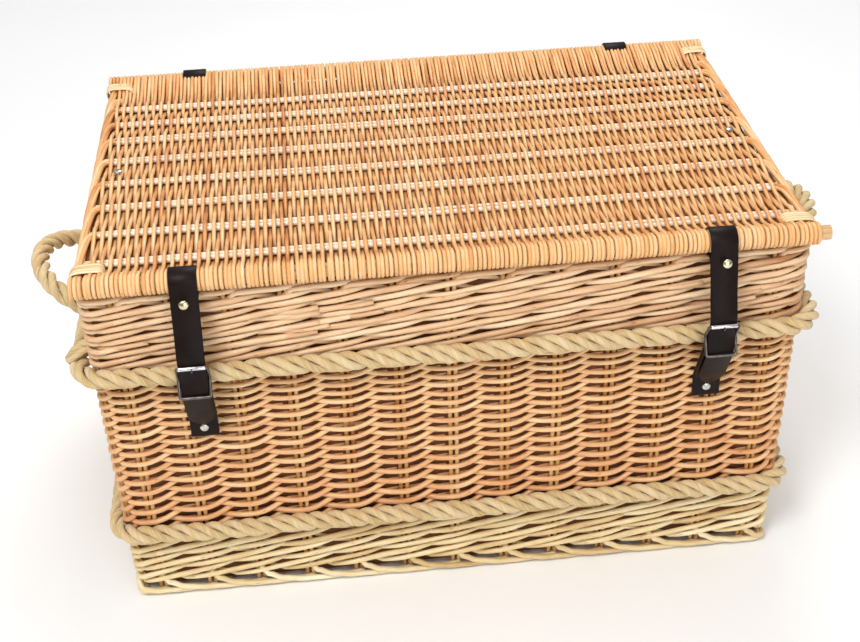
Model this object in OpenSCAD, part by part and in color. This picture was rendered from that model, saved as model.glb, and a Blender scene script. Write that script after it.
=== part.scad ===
// Wicker storage trunk: woven walls on stakes, rope bands and rope handles, and a
// woven lid that hinges on leather loops and closes with two buckled straps.
// Origin: centre of the base, on the floor. +X is the length, the front faces -Y.

/* [Walls] */
// Length of the walls at the rim, outside
body_w = 700; // [640:10:760]
// Depth of the walls at the rim, outside
body_d = 440; // [420:5:480]
// Thickness of the woven walls
wall_t = 14; // [14:1:16]
// Outside radius of the upright corners
corner_r = 18; // [17:1:24]
// Height where the foot border ends
foot_z = 14; // [12:1:20]
// Height where the upper waling begins, behind the upper rope
wale_z = 300; // [296:1:304]
// Height where the rim border begins
rim_z = 376; // [374:1:378]
// Inset of the middle band of the wall behind the upper one
mid_inset = 4; // [3:1:5]
// Inset of the foot band of the wall behind the upper one
low_inset = 7; // [6:1:8]

/* [Stakes] */
// Stake pairs along the front
stakes_x = 13; // [9:1:15]
// Stake pairs along each end
stakes_y = 8; // [8:1:9]
// Diameter of a stake
stake_dia = 4.6; // [4:0.2:5]

/* [Ropes] */
// Diameter of all the rope
rope_dia = 20; // [18:0.5:20]
// Height of the lower rope's centre
low_rope_z = 95; // [85:1:105]
// Height at which the handle rope passes through the end walls
handle_z = 280; // [272:1:280]
// Distance between the two ends of a handle
handle_span = 138; // [134:1:138]
// Reach of a handle's centre line from its pivot
handle_reach = 60; // [54:1:64]
// How far a handle stands up at rest, in degrees
handle_lift = 27; // [0:1:30]

/* [Lid] */
// Height of the lid rods' centre line, which is also the hinge line
hinge_z = 399; // [398:1:401]
// Radius of the lid rods with their wrapping
wrap_r = 11; // [10:0.5:11]
// Radius of the bare lid rods
rod_r = 7; // [6:0.5:8]
// Thickness of the woven lid panel
lid_t = 13; // [12:0.5:14]
// How far the bare front rod sticks out at the right
rod_tail = 11; // [0:1:14]

/* [Leather] */
// Width of every closing strap
strap_w = 26; // [22:1:26]
// Leather thickness of the closing and hinge straps
strap_t = 2.4; // [2:0.2:2.4]
// Place of the left closing strap along the front
left_strap_x = -247; // [-260:1:-230]
// Place of the right closing strap along the front
right_strap_x = 256; // [230:1:265]
// Place of the left hinge strap along the back
left_hinge_x = -251; // [-260:1:-230]
// Place of the right hinge strap along the back
right_hinge_x = 246; // [230:1:260]

/* [Hidden] */
$fn = 48;

rope_r = rope_dia / 2;
front_y = -body_d / 2;
back_y = body_d / 2;
mid_w = body_w - 2 * mid_inset;
mid_d = body_d - 2 * mid_inset;
low_w = body_w - 2 * low_inset;
low_d = body_d - 2 * low_inset;
rim_top = 384.5;
mid_front_y = front_y + mid_inset;

// Base and foot
base_w = low_w - 2 * wall_t;
base_d = low_d - 2 * wall_t;
base_stick_n = 9;
base_stick_r = 3.5;
foot_proud = 1;

// Lid: the stick pairs' places run from the back to the front, wider apart at the back
stick_y = [152, 114, 74, 27, -23, -73, -126, -180];
stick_r = 2.5;
stick_gap = 0.4;
border_r = 6;
panel_w = body_w - 4 * border_r;
notch = 18;
binding_t = 1.2;
binding_w = 12;
binding_l = 28;

// Closing straps: the loop round the front rod, then down to the buckle and past it
run_fit = 0.3;
loop_r = wrap_r + run_fit;
loop_mid_r = loop_r + strap_t / 2;
strap_proud = 30.9;
strap_bend_z = 331;
strap_tip_z = 236;
strap_rivet_z = 388;
hole_z = 345;
hole_step = 24;
hole_n = 3;

// Buckle: the centre bar sits just in front of the rope and a little above its middle, and the
// end bars in front of the strap
centre_bar_y = front_y - 24;
centre_bar_z = wale_z + 8;
end_bar_y = front_y - 35.9;
bar_half = 17;
bar_r = 1.75;
core_r = 1.25;
roller_r = 2;
pin_fit = 0.05;
gap_w = strap_w + 1;
rail_t = 2;
rail_r = 2.3;
prong_l = 15;
prong_r = 0.9;
prong_eye_r = 3;
prong_w = 3;

// Buckle straps
chape_t = 2.1;
chape_rivet_z = 228;
chape_end_z = 216;
chape_slot = 4.6;

// Rivets
shank_r = 2;
head_r = 4.3;
head_t = 1.4;
washer_r = 8;
washer_t = 1.5;

// Hinge straps
hinge_end_z = 338;
hinge_rivet_z = 352;
hinge_gap = 0.2;

// Stays: a leather strip under the lid, folded in above the handle's knots
stay_x = 322.5;
stay_w = 17;
stay_t = 2;
stay_lid_y = -8;
stay_fold_y = 158;
stay_fold_z = 304;
anchor_y = 60;
anchor_z = 362;

// Handles
knot_r = 13;
pivot_out = 16;
handle_end_out = 4.5;
handle_r = (pow(handle_span / 2, 2) + pow(handle_reach, 2)) / (2 * handle_reach);
handle_half = asin(handle_span / 2 / handle_r);

module rounded(w, d, r) {
    square([w - 2 * r, d], center = true);
    square([w, d - 2 * r], center = true);
    for (x = [-1, 1], y = [-1, 1]) translate([x * (w / 2 - r), y * (d / 2 - r)]) circle(r);
}

// A wall band: an upright ring with rounded corners
module wall_band(w, d, z0, z1, t = wall_t) {
    translate([0, 0, z0]) linear_extrude(z1 - z0) difference() {
        rounded(w, d, corner_r);
        rounded(w - 2 * t, d - 2 * t, corner_r - t);
    }
}

// Extrudes a Y-Z outline along X, centred on x
module along_x(x, w) {
    translate([x, 0, 0]) rotate([90, 0, 90]) linear_extrude(w, center = true) children();
}

// A strip of even thickness along a path of points
module strip(path, t) {
    for (i = [0 : len(path) - 2]) {
        step = path[i + 1] - path[i];
        translate(path[i]) rotate(atan2(step[1], step[0])) translate([0, -t / 2])
            square([norm(step), t]);
    }
    for (i = [1 : len(path) - 2]) translate(path[i]) circle(d = t, $fn = 24);
}

module rod_x(x0, x1, y, z, r) {
    translate([x0, y, z]) rotate([0, 90, 0]) cylinder(h = x1 - x0, r = r);
}

module rod_y(x, y0, y1, z, r) {
    translate([x, y0, z]) rotate([-90, 0, 0]) cylinder(h = y1 - y0, r = r);
}

// A closed band of rope round a wall band, lying against it
module rope_band(w, d, z) {
    run_x = w / 2 - corner_r;
    run_y = d / 2 - corner_r;
    bend = corner_r + rope_r;
    for (s = [-1, 1]) {
        rod_x(-run_x, run_x, s * (d / 2 + rope_r), z, rope_r);
        rod_y(s * (w / 2 + rope_r), -run_y, run_y, z, rope_r);
    }
    for (i = [0 : 3]) {
        sx = (i == 0 || i == 3) ? 1 : -1;
        sy = i < 2 ? 1 : -1;
        translate([sx * run_x, sy * run_y, z]) rotate(90 * i)
            rotate_extrude(angle = 90) translate([bend, 0]) circle(rope_r);
    }
}

// ---- Base ----
module base_sticks() {
    step = base_d / base_stick_n;
    color("burlywood") for (i = [0 : base_stick_n - 1])
        rod_x(-base_w / 2, base_w / 2, (i - (base_stick_n - 1) / 2) * step, foot_z / 2, base_stick_r);
}

module base_weave() {
    step = base_d / base_stick_n;
    corner = 2 * (corner_r - wall_t - foot_proud);
    color("peru") difference() {
        along_x(0, base_w) difference() {
            translate([-base_d / 2, 0]) square([base_d, foot_z]);
            for (i = [0 : base_stick_n - 1])
                translate([(i - (base_stick_n - 1) / 2) * step, foot_z / 2]) circle(base_stick_r);
        }
        for (sx = [-1, 1], sy = [-1, 1]) translate([sx * base_w / 2, sy * base_d / 2, foot_z / 2])
            cube([corner, corner, foot_z + 2], center = true);
    }
}

module foot_border() {
    color("burlywood") wall_band(low_w + 2 * foot_proud, low_d + 2 * foot_proud, 0, foot_z,
        wall_t + foot_proud);
}

// ---- Walls ----
module stake_pair() {
    for (s = [-1, 1]) translate([s * (stake_dia / 2 + 0.1), 0, 0])
        cylinder(h = rim_z + 4 - foot_z / 2, d = stake_dia, $fn = 24);
}

module wall_stakes() {
    in_x = body_w / 2 - 10.5;
    in_y = body_d / 2 - 10.5;
    pitch_x = body_w / (stakes_x + 0.3);
    pitch_y = body_d / (stakes_y - 0.2);
    color("tan") translate([0, 0, foot_z / 2]) for (s = [-1, 1]) {
        for (i = [0 : stakes_x - 1])
            translate([(i - (stakes_x - 1) / 2) * pitch_x, s * in_y, 0]) stake_pair();
        for (i = [0 : stakes_y - 1])
            translate([s * in_x, (i - (stakes_y - 1) / 2) * pitch_y, 0]) rotate(90) stake_pair();
    }
}

module foot_waling() {
    color("wheat") wall_band(low_w, low_d, foot_z, low_rope_z);
}

module wall_randing() {
    color("sandybrown") difference() {
        wall_band(mid_w, mid_d, low_rope_z, wale_z);
        for (x = [left_strap_x, right_strap_x])
            rod_y(x, mid_front_y - 1, mid_front_y + wall_t + 1, chape_rivet_z, shank_r);
        for (s = [-1, 1], y = [-1, 1])
            rod_x(s * mid_w / 2 - wall_t - 1, s * mid_w / 2 + wall_t + 1, y * handle_span / 2,
                handle_z, rope_r);
    }
}

module upper_waling() {
    color("wheat") difference() {
        wall_band(body_w, body_d, wale_z, rim_z);
        for (s = [-1, 1])
            rod_x(s * body_w / 2 - wall_t - 1, s * body_w / 2 + wall_t + 1,
                anchor_y, anchor_z, shank_r);
        for (x = [left_hinge_x, right_hinge_x])
            rod_y(x, back_y - wall_t - 1, back_y + 1, hinge_rivet_z, shank_r);
    }
}

module rim_border() {
    color("burlywood") wall_band(body_w + 2 * foot_proud, body_d + 2 * foot_proud, rim_z, rim_top,
        wall_t + foot_proud);
}

// ---- Ropes ----
module lower_rope() {
    color("khaki") rope_band(mid_w, mid_d, low_rope_z);
}

module upper_rope() {
    color("khaki") rope_band(body_w, body_d, wale_z);
}

// The handle rope's two ends: through the end wall, with a stopper knot inside
module handle_ends(side) {
    inner = mid_w / 2 - wall_t;
    outer = body_w / 2 + handle_end_out;
    color("khaki") for (y = [-1, 1]) {
        rod_x(side > 0 ? inner - knot_r : -outer, side > 0 ? outer : knot_r - inner,
            y * handle_span / 2, handle_z, rope_r);
        rod_x(side * (inner - knot_r) - knot_r, side * (inner - knot_r) + knot_r, y * handle_span / 2,
            handle_z, knot_r);
    }
}

// The part of a handle that swings: an arc of rope between its two pivots
module handle(side) {
    pivot_x = body_w / 2 + pivot_out;
    color("khaki") mirror([side > 0 ? 0 : 1, 0, 0]) translate([pivot_x, 0, handle_z])
        rotate([0, -handle_lift, 0]) translate([handle_reach - handle_r, 0, 0]) rotate(-handle_half)
            rotate_extrude(angle = 2 * handle_half, $fn = 96) translate([handle_r, 0]) circle(rope_r);
}

module left_handle_ends() { handle_ends(-1); }
module right_handle_ends() { handle_ends(1); }
module left_handle() { handle(-1); }
module right_handle() { handle(1); }

// ---- Lid ----
module lid_front_rod() {
    color("saddlebrown") rod_x(-body_w / 2, body_w / 2 + rod_tail, front_y, hinge_z, rod_r);
}

module lid_rear_rod() {
    color("saddlebrown") rod_x(-body_w / 2, body_w / 2, back_y, hinge_z, rod_r);
}

module stick_pairs_2d() {
    for (y = stick_y, s = [-1, 1]) translate([y + s * (stick_r + stick_gap / 2), hinge_z]) circle(stick_r);
}

module lid_sticks() {
    color("wheat") along_x(0, panel_w) stick_pairs_2d();
}

module lid_weave() {
    color("sandybrown") difference() {
        union() {
            difference() {
                along_x(0, panel_w) difference() {
                    translate([front_y, hinge_z - lid_t / 2]) square([body_d, lid_t]);
                    stick_pairs_2d();
                }
                for (x = [left_strap_x, right_strap_x])
                    translate([x, front_y, hinge_z]) cube([strap_w + 2, 2 * notch, 30], center = true);
                for (x = [left_hinge_x, right_hinge_x])
                    translate([x, back_y, hinge_z]) cube([strap_w + 2, 2 * notch, 30], center = true);
            }
            for (y = [front_y, back_y]) rod_x(-body_w / 2, body_w / 2, y, hinge_z, wrap_r);
        }
        for (y = [front_y, back_y]) rod_x(-body_w, body_w, y, hinge_z, rod_r);
        for (s = [-1, 1]) translate([s * stay_x, stay_lid_y, hinge_z - lid_t])
            cylinder(h = 2 * lid_t, r = shank_r);
    }
}

module lid_border(side) {
    reach = body_d / 2 - wrap_r;
    color("sandybrown") rod_y(side * (body_w / 2 - border_r), -reach, reach, hinge_z, border_r);
}

module left_lid_border() { lid_border(-1); }
module right_lid_border() { lid_border(1); }

// A flat split of willow round each corner of the lid's edge
module lid_corner_bindings() {
    edge = body_w / 2 + 0.2;
    color("cornsilk") for (sx = [-1, 1], sy = [-1, 1]) mirror([sx > 0 ? 0 : 1, 0, 0]) {
        y0 = sy * (body_d / 2 - wrap_r - 1 - binding_w / 2) - binding_w / 2;
        for (z = [hinge_z + lid_t / 2, hinge_z - lid_t / 2 - binding_t])
            translate([edge - binding_l, y0, z]) cube([binding_l + binding_t, binding_w, binding_t]);
        translate([edge, y0, hinge_z - lid_t / 2 - binding_t / 2])
            cube([binding_t, binding_w, lid_t + binding_t]);
    }
}

// ---- Closing straps ----
// Outline of a strap: a loop round the front rod, doubled down to its rivet, then down to the tip
module strap_2d() {
    centre = [front_y, hinge_z];
    top = [front_y - loop_mid_r, hinge_z];
    bend = [front_y - strap_proud, strap_bend_z];
    lap = (bend - top) * 0.36;
    behind = [strap_t, 0];
    translate(centre) difference() {
        circle(loop_r + strap_t);
        circle(loop_r);
    }
    strip([top, bend, [front_y - strap_proud, strap_tip_z]], strap_t);
    strip([top + [strap_t * 0.4, -6], top + behind + lap], strap_t);
}

// A strap's slant above its bend, and where its middle is at the rivet
strap_lean = atan((strap_proud - loop_mid_r) / (hinge_z - strap_bend_z));
strap_rivet_y = front_y - loop_mid_r - (hinge_z - strap_rivet_z) * tan(strap_lean);

// A round pin square to the slanted strap, from its middle to one side or both
module strap_pin(x, from, to, r) {
    translate([x, strap_rivet_y, strap_rivet_z]) rotate([90 - strap_lean, 0, 0])
        translate([0, 0, from]) cylinder(h = to - from, r = r);
}

module strap(x) {
    point = strap_w * 0.6;
    color("#2b1d18") difference() {
        along_x(x, strap_w) strap_2d();
        for (s = [-1, 1]) translate([x + s * strap_w / 2, front_y - strap_proud, strap_tip_z])
            rotate([0, s * 40, 0]) cube([point, strap_w, point * 2], center = true);
        for (i = [0 : hole_n - 1]) rod_y(x, front_y - 40, front_y - 20, hole_z - i * hole_step, 1.5);
        strap_pin(x, -6, 6, shank_r);
    }
}

module strap_rivet(x) {
    face = strap_t / 2 + 0.02;
    color("gold") {
        strap_pin(x, -strap_t * 1.4, face + head_t / 2, shank_r);
        strap_pin(x, face, face + head_t, head_r);
    }
}

module left_strap() { strap(left_strap_x); }
module right_strap() { strap(right_strap_x); }
module left_strap_rivet() { strap_rivet(left_strap_x); }
module right_strap_rivet() { strap_rivet(right_strap_x); }

// ---- Buckle straps ----
module buckle_strap(x) {
    rear_y = mid_front_y - 0.1 - chape_t / 2;
    fore_y = rear_y - chape_t;
    eye = bar_r + 0.05;
    color("#2b1d18") difference() {
        along_x(x, strap_w) {
            translate([centre_bar_y, centre_bar_z]) difference() {
                circle(eye + chape_t);
                circle(eye);
            }
            strip([[centre_bar_y + eye + chape_t / 2 - 0.1, centre_bar_z], [centre_bar_y + 2.6, wale_z - 7],
                [rear_y, 243], [rear_y, chape_end_z]], chape_t);
            strip([[centre_bar_y - eye - chape_t / 2, centre_bar_z], [centre_bar_y - 1.5, wale_z - 8],
                [fore_y, 238], [fore_y, chape_end_z + 3]], chape_t);
        }
        translate([x, centre_bar_y, centre_bar_z + 1]) cube([chape_slot, 12, 14], center = true);
        rod_y(x, centre_bar_y, mid_front_y + 1, chape_rivet_z, shank_r);
    }
}

module left_buckle_strap() { buckle_strap(left_strap_x); }
module right_buckle_strap() { buckle_strap(right_strap_x); }

module buckle_strap_rivets() {
    out = mid_front_y - 0.1 - 2 * chape_t;
    inside = mid_front_y + wall_t + washer_t;
    color("silver") for (x = [left_strap_x, right_strap_x]) {
        rod_y(x, out - head_t, out, chape_rivet_z, head_r);
        rod_y(x, out, inside, chape_rivet_z, shank_r);
        rod_y(x, inside, inside + head_t, chape_rivet_z, head_r);
    }
}

module buckle_strap_washers() {
    inner = mid_front_y + wall_t;
    color("#2b1d18") for (x = [left_strap_x, right_strap_x]) difference() {
        rod_y(x, inner, inner + washer_t, chape_rivet_z, washer_r);
        rod_y(x, inner - 1, inner + washer_t + 1, chape_rivet_z, shank_r);
    }
}

// ---- Buckles ----
module buckle_rail_2d() {
    ends = [[end_bar_y, centre_bar_z + bar_half], [centre_bar_y, centre_bar_z],
        [end_bar_y, centre_bar_z - bar_half]];
    strip(ends, 2 * rail_r);
    for (p = ends) translate(p) circle(rail_r);
}

module buckle_frame(x) {
    reach = gap_w / 2 + rail_t / 2;
    color("silver") {
        for (s = [-1, 1]) along_x(x + s * reach, rail_t) buckle_rail_2d();
        rod_x(x - reach, x + reach, centre_bar_y, centre_bar_z, bar_r);
        rod_x(x - reach, x + reach, end_bar_y, centre_bar_z - bar_half, bar_r);
        rod_x(x - reach, x + reach, end_bar_y, centre_bar_z + bar_half, core_r);
    }
}

module buckle_roller(x) {
    half = gap_w / 2 - 0.2;
    color("white") difference() {
        rod_x(x - half, x + half, end_bar_y, centre_bar_z + bar_half, roller_r);
        rod_x(x - half - 1, x + half + 1, end_bar_y, centre_bar_z + bar_half, core_r + pin_fit);
    }
}

// The prong, hung on the centre bar and upright behind the strap
module buckle_prong(x) {
    half = prong_w / 2;
    color("silver") difference() {
        union() {
            rod_x(x - half, x + half, centre_bar_y, centre_bar_z, prong_eye_r);
            translate([x, centre_bar_y, centre_bar_z]) cylinder(h = prong_l, r = prong_r, $fn = 24);
        }
        rod_x(x - half - 1, x + half + 1, centre_bar_y, centre_bar_z, bar_r + pin_fit);
    }
}

module left_buckle_frame() { buckle_frame(left_strap_x); }
module right_buckle_frame() { buckle_frame(right_strap_x); }
module left_buckle_roller() { buckle_roller(left_strap_x); }
module right_buckle_roller() { buckle_roller(right_strap_x); }
module left_buckle_prong() { buckle_prong(left_strap_x); }
module right_buckle_prong() { buckle_prong(right_strap_x); }

// ---- Hinge straps ----
// Outline of one leg: from the loop over the rod, in to the wall, then straight down
module hinge_leg_2d(side, leg_y, drop) {
    inner = back_y + side * (loop_r + 0.3);
    outer = back_y + side * (loop_r + strap_t - 0.3);
    points = [[inner, hinge_z + 1], [outer, hinge_z + 1], [outer, hinge_z - 7],
        [leg_y + side * strap_t, hinge_z - drop], [leg_y + side * strap_t, hinge_end_z],
        [leg_y, hinge_end_z], [leg_y, hinge_z - drop], [inner, hinge_z - 7]];
    polygon([for (i = [0 : 7]) points[side > 0 ? 7 - i : i]]);
}

// A leather strap over the rear rod, with a leg down each face of the back wall
module hinge_strap(x) {
    inner_y = back_y - wall_t - hinge_gap;
    outer_y = back_y + hinge_gap;
    color("#2b1d18") difference() {
        along_x(x, strap_w) {
            translate([back_y, hinge_z]) rotate(-90) difference() {
                circle(loop_r + strap_t);
                circle(loop_r);
                translate([1, -2 * wrap_r]) square([2 * wrap_r, 4 * wrap_r]);
            }
            hinge_leg_2d(-1, inner_y, 10);
            hinge_leg_2d(1, outer_y, 28);
        }
        rod_y(x, inner_y - 2 * strap_t, outer_y + 2 * strap_t, hinge_rivet_z, shank_r);
    }
}

module left_hinge_strap() { hinge_strap(left_hinge_x); }
module right_hinge_strap() { hinge_strap(right_hinge_x); }

module hinge_rivets() {
    inner = back_y - wall_t - strap_t - hinge_gap;
    outer = back_y + strap_t + hinge_gap;
    color("silver") for (x = [left_hinge_x, right_hinge_x]) {
        rod_y(x, inner - head_t, inner, hinge_rivet_z, head_r);
        rod_y(x, inner, outer, hinge_rivet_z, shank_r);
        rod_y(x, outer, outer + head_t, hinge_rivet_z, head_r);
    }
}

// ---- Stays ----
module stay(side) {
    top_z = hinge_z - lid_t / 2 - stay_t / 2;
    color("#3a2a4a") difference() {
        along_x(side * stay_x, stay_w)
            strip([[stay_lid_y - 40, top_z], [stay_lid_y + 12, top_z], [stay_fold_y, stay_fold_z]], stay_t);
        translate([side * stay_x, stay_lid_y, top_z - 3]) cylinder(h = 8, r = shank_r);
    }
}

module stay_anchor(side) {
    inner = body_w / 2 - wall_t;
    color("#3a2a4a") difference() {
        translate([side * (inner - stay_t / 2), anchor_y, anchor_z - 4])
            cube([stay_t, stay_w, 32], center = true);
        rod_x(side * inner - 4, side * inner + 4, anchor_y, anchor_z, shank_r);
    }
}

module left_stay() { stay(-1); }
module right_stay() { stay(1); }
module left_stay_anchor() { stay_anchor(-1); }
module right_stay_anchor() { stay_anchor(1); }

module stay_lid_rivets() {
    top = hinge_z + lid_t / 2;
    low = hinge_z - lid_t / 2 - stay_t;
    color("silver") for (s = [-1, 1]) translate([s * stay_x, stay_lid_y, 0]) {
        translate([0, 0, low]) cylinder(h = top - low, r = shank_r);
        translate([0, 0, top]) cylinder(h = head_t, r = head_r);
        translate([0, 0, low - head_t]) cylinder(h = head_t, r = head_r);
    }
}

module stay_wall_rivets() {
    inner = body_w / 2 - wall_t - stay_t;
    outer = body_w / 2;
    color("silver") for (s = [0, 1]) mirror([s, 0, 0]) {
        rod_x(inner, outer, anchor_y, anchor_z, shank_r);
        rod_x(inner - head_t, inner, anchor_y, anchor_z, head_r);
        rod_x(outer, outer + head_t, anchor_y, anchor_z, head_r);
    }
}

base_sticks();
base_weave();
foot_border();
wall_stakes();
foot_waling();
wall_randing();
upper_waling();
rim_border();
lower_rope();
upper_rope();
left_handle_ends();
right_handle_ends();
left_handle();
right_handle();
lid_front_rod();
lid_rear_rod();
lid_sticks();
lid_weave();
left_lid_border();
right_lid_border();
lid_corner_bindings();
left_strap();
right_strap();
left_strap_rivet();
right_strap_rivet();
left_buckle_strap();
right_buckle_strap();
buckle_strap_rivets();
buckle_strap_washers();
left_buckle_frame();
right_buckle_frame();
left_buckle_roller();
right_buckle_roller();
left_buckle_prong();
right_buckle_prong();
left_hinge_strap();
right_hinge_strap();
hinge_rivets();
left_stay();
right_stay();
left_stay_anchor();
right_stay_anchor();
stay_lid_rivets();
stay_wall_rivets();
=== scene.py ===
import math

import bpy
import numpy as np
from mathutils import Matrix, Vector


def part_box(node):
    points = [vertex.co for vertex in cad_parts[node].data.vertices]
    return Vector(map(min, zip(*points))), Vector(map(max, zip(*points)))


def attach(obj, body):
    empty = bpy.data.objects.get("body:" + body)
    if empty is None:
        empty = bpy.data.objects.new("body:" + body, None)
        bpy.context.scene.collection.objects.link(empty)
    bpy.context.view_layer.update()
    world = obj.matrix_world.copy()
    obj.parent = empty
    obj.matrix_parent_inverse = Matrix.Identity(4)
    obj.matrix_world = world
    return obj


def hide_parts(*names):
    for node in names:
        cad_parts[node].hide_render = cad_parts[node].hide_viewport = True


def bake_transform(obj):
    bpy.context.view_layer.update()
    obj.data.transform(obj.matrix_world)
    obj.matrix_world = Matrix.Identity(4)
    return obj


# A wicker storage trunk, dressed over its CAD frame. Shapes are worked out in millimetres in
# the CAD's own frame, and become metres when a mesh is made. Lights, floor and camera are in
# metres from the start.

MM = 0.001
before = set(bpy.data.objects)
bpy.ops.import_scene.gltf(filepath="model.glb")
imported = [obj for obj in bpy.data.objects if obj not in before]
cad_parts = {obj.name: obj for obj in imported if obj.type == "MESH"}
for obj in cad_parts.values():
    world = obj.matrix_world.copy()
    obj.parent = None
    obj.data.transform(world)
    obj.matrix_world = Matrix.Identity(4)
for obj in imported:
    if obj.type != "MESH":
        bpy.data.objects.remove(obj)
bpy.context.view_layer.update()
rng = np.random.default_rng(21)


def box(node):
    """Lowest and highest corner of a CAD node, in millimetres."""
    low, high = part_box(node)
    return np.array(low) / MM, np.array(high) / MM


def middle(node):
    """Centre of a CAD node's box, in millimetres."""
    return np.mean(box(node), axis=0)


# ---------------------------------------------------------------- sizes from the frame
RIM_LOW, RIM_HIGH = box("upper_waling")
FOOT_LOW, FOOT_HIGH = box("foot_waling")
HALF_X, HALF_Y = RIM_HIGH[0], RIM_HIGH[1]
WALE_Z, RIM_Z = RIM_LOW[2], RIM_HIGH[2]
FOOT_Z, LOW_ROPE_Z = FOOT_LOW[2], FOOT_HIGH[2]
RIM_TOP = box("rim_border")[1][2]
WALL = 14.0  # wall thickness
BEND = 11.0  # radius of the stakes' line at a corner
FOOT_INSET = HALF_X - FOOT_HIGH[0]
STAKES_X, STAKES_Y = 13, 8
STAKES = 2 * (STAKES_X + STAKES_Y)
PITCH_X = 2 * HALF_X / (STAKES_X + 0.3)  # from one stake pair to the next
PITCH_Y = 2 * HALF_Y / (STAKES_Y - 0.2)

HINGE = middle("lid_rear_rod")[1:]  # y and z of the lid's axis
HINGE_Z = HINGE[1]
ROD_R = (box("lid_rear_rod")[1][2] - box("lid_rear_rod")[0][2]) / 2
PANEL_X = box("lid_sticks")[1][0]
WEAVER_R, WEAVER_PITCH = 2.04, 4.12
WRAP_R = ROD_R + 2.1  # centre of a wrap round a lid rod
STICK_Y = (152, 114, 74, 27, -23, -73, -126, -180)  # the lid's stick pairs, unevenly set

STRAP_X = {side: middle(side + "_strap")[0] for side in ("left", "right")}
HINGE_X = {side: middle(side + "_hinge_strap")[0] for side in ("left", "right")}
STRAP_W, STRAP_T = 26.0, 2.4
CHAPE_T = 2.1
LOOP_R = 12.5  # a leather loop round a lid rod
ROLLER = middle("left_buckle_roller")[1:]  # y and z of the buckle's upper bar
CENTRE_BAR = np.array([-HALF_Y - 24, WALE_Z + 8])
LOW_BAR = np.array([ROLLER[0], 2 * CENTRE_BAR[1] - ROLLER[1]])
CHAPE_RIVET = middle("buckle_strap_rivets")[2]
STRAP_RIVET = middle("left_strap_rivet")[2]
RIVET_R = 4.3
RIVET_SINK = 1.4  # how far inside its CAD box a dome starts
STAY_W, STAY_T, STAY_X = 17.0, 2.0, 322.5

ORBIT, STRAND_R = 5.6, 4.2  # a strand's distance from the rope's centre, and its radius
ROPE_LAY = 54.0  # length of one turn of a strand
HANDLE_Z = middle("left_handle_ends")[2]
HANDLE_SPAN = 138.0
KNOT_X = box("right_handle_ends")[0][0] + 13


# ---------------------------------------------------------------- mesh making
def unit(v):
    return v / np.linalg.norm(v, axis=-1, keepdims=True)


def circle(sides):
    """A round section, as (out, across) pairs of radius 1."""
    angle = 2 * np.pi * (np.arange(sides) + 0.5) / sides
    return np.stack([np.cos(angle), np.sin(angle)], 1)


def directions(paths, refs, closed):
    """Two unit vectors square to the path at each point: one that faces refs, and one across it."""
    if closed:
        step = np.roll(paths, -1, -2) - np.roll(paths, 1, -2)
    else:
        step = np.gradient(paths, axis=-2)
    along = unit(step)
    refs = np.broadcast_to(np.asarray(refs, float), paths.shape)
    out = unit(refs - (refs * along).sum(-1, keepdims=True) * along)
    return out, np.cross(along, out)


def sweep(paths, section, refs, scale, closed=False):
    """Rings of points round each path, (rods, rings, sides, 3); a section's out side faces refs."""
    out, across = directions(paths, refs, closed)
    scale = np.broadcast_to(np.asarray(scale, float), paths.shape[:2] + (2,))
    a = section[:, 0] * scale[..., :1]
    b = section[:, 1] * scale[..., 1:]
    return paths[:, :, None] + a[..., None] * out[:, :, None] + b[..., None] * across[:, :, None]


def length_along(paths):
    """How far along its path each point is, for one path or several."""
    step = np.linalg.norm(np.diff(paths, axis=-2), axis=-1)
    return np.concatenate([np.zeros(step.shape[:-1] + (1,)), np.cumsum(step, -1)], -1)


def points_at(line, lengths, at):
    """A line's points at the lengths in at; lengths holds those of its own points."""
    return np.stack([np.interp(at, lengths, line[:, k]) for k in range(line.shape[1])], 1)


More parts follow.
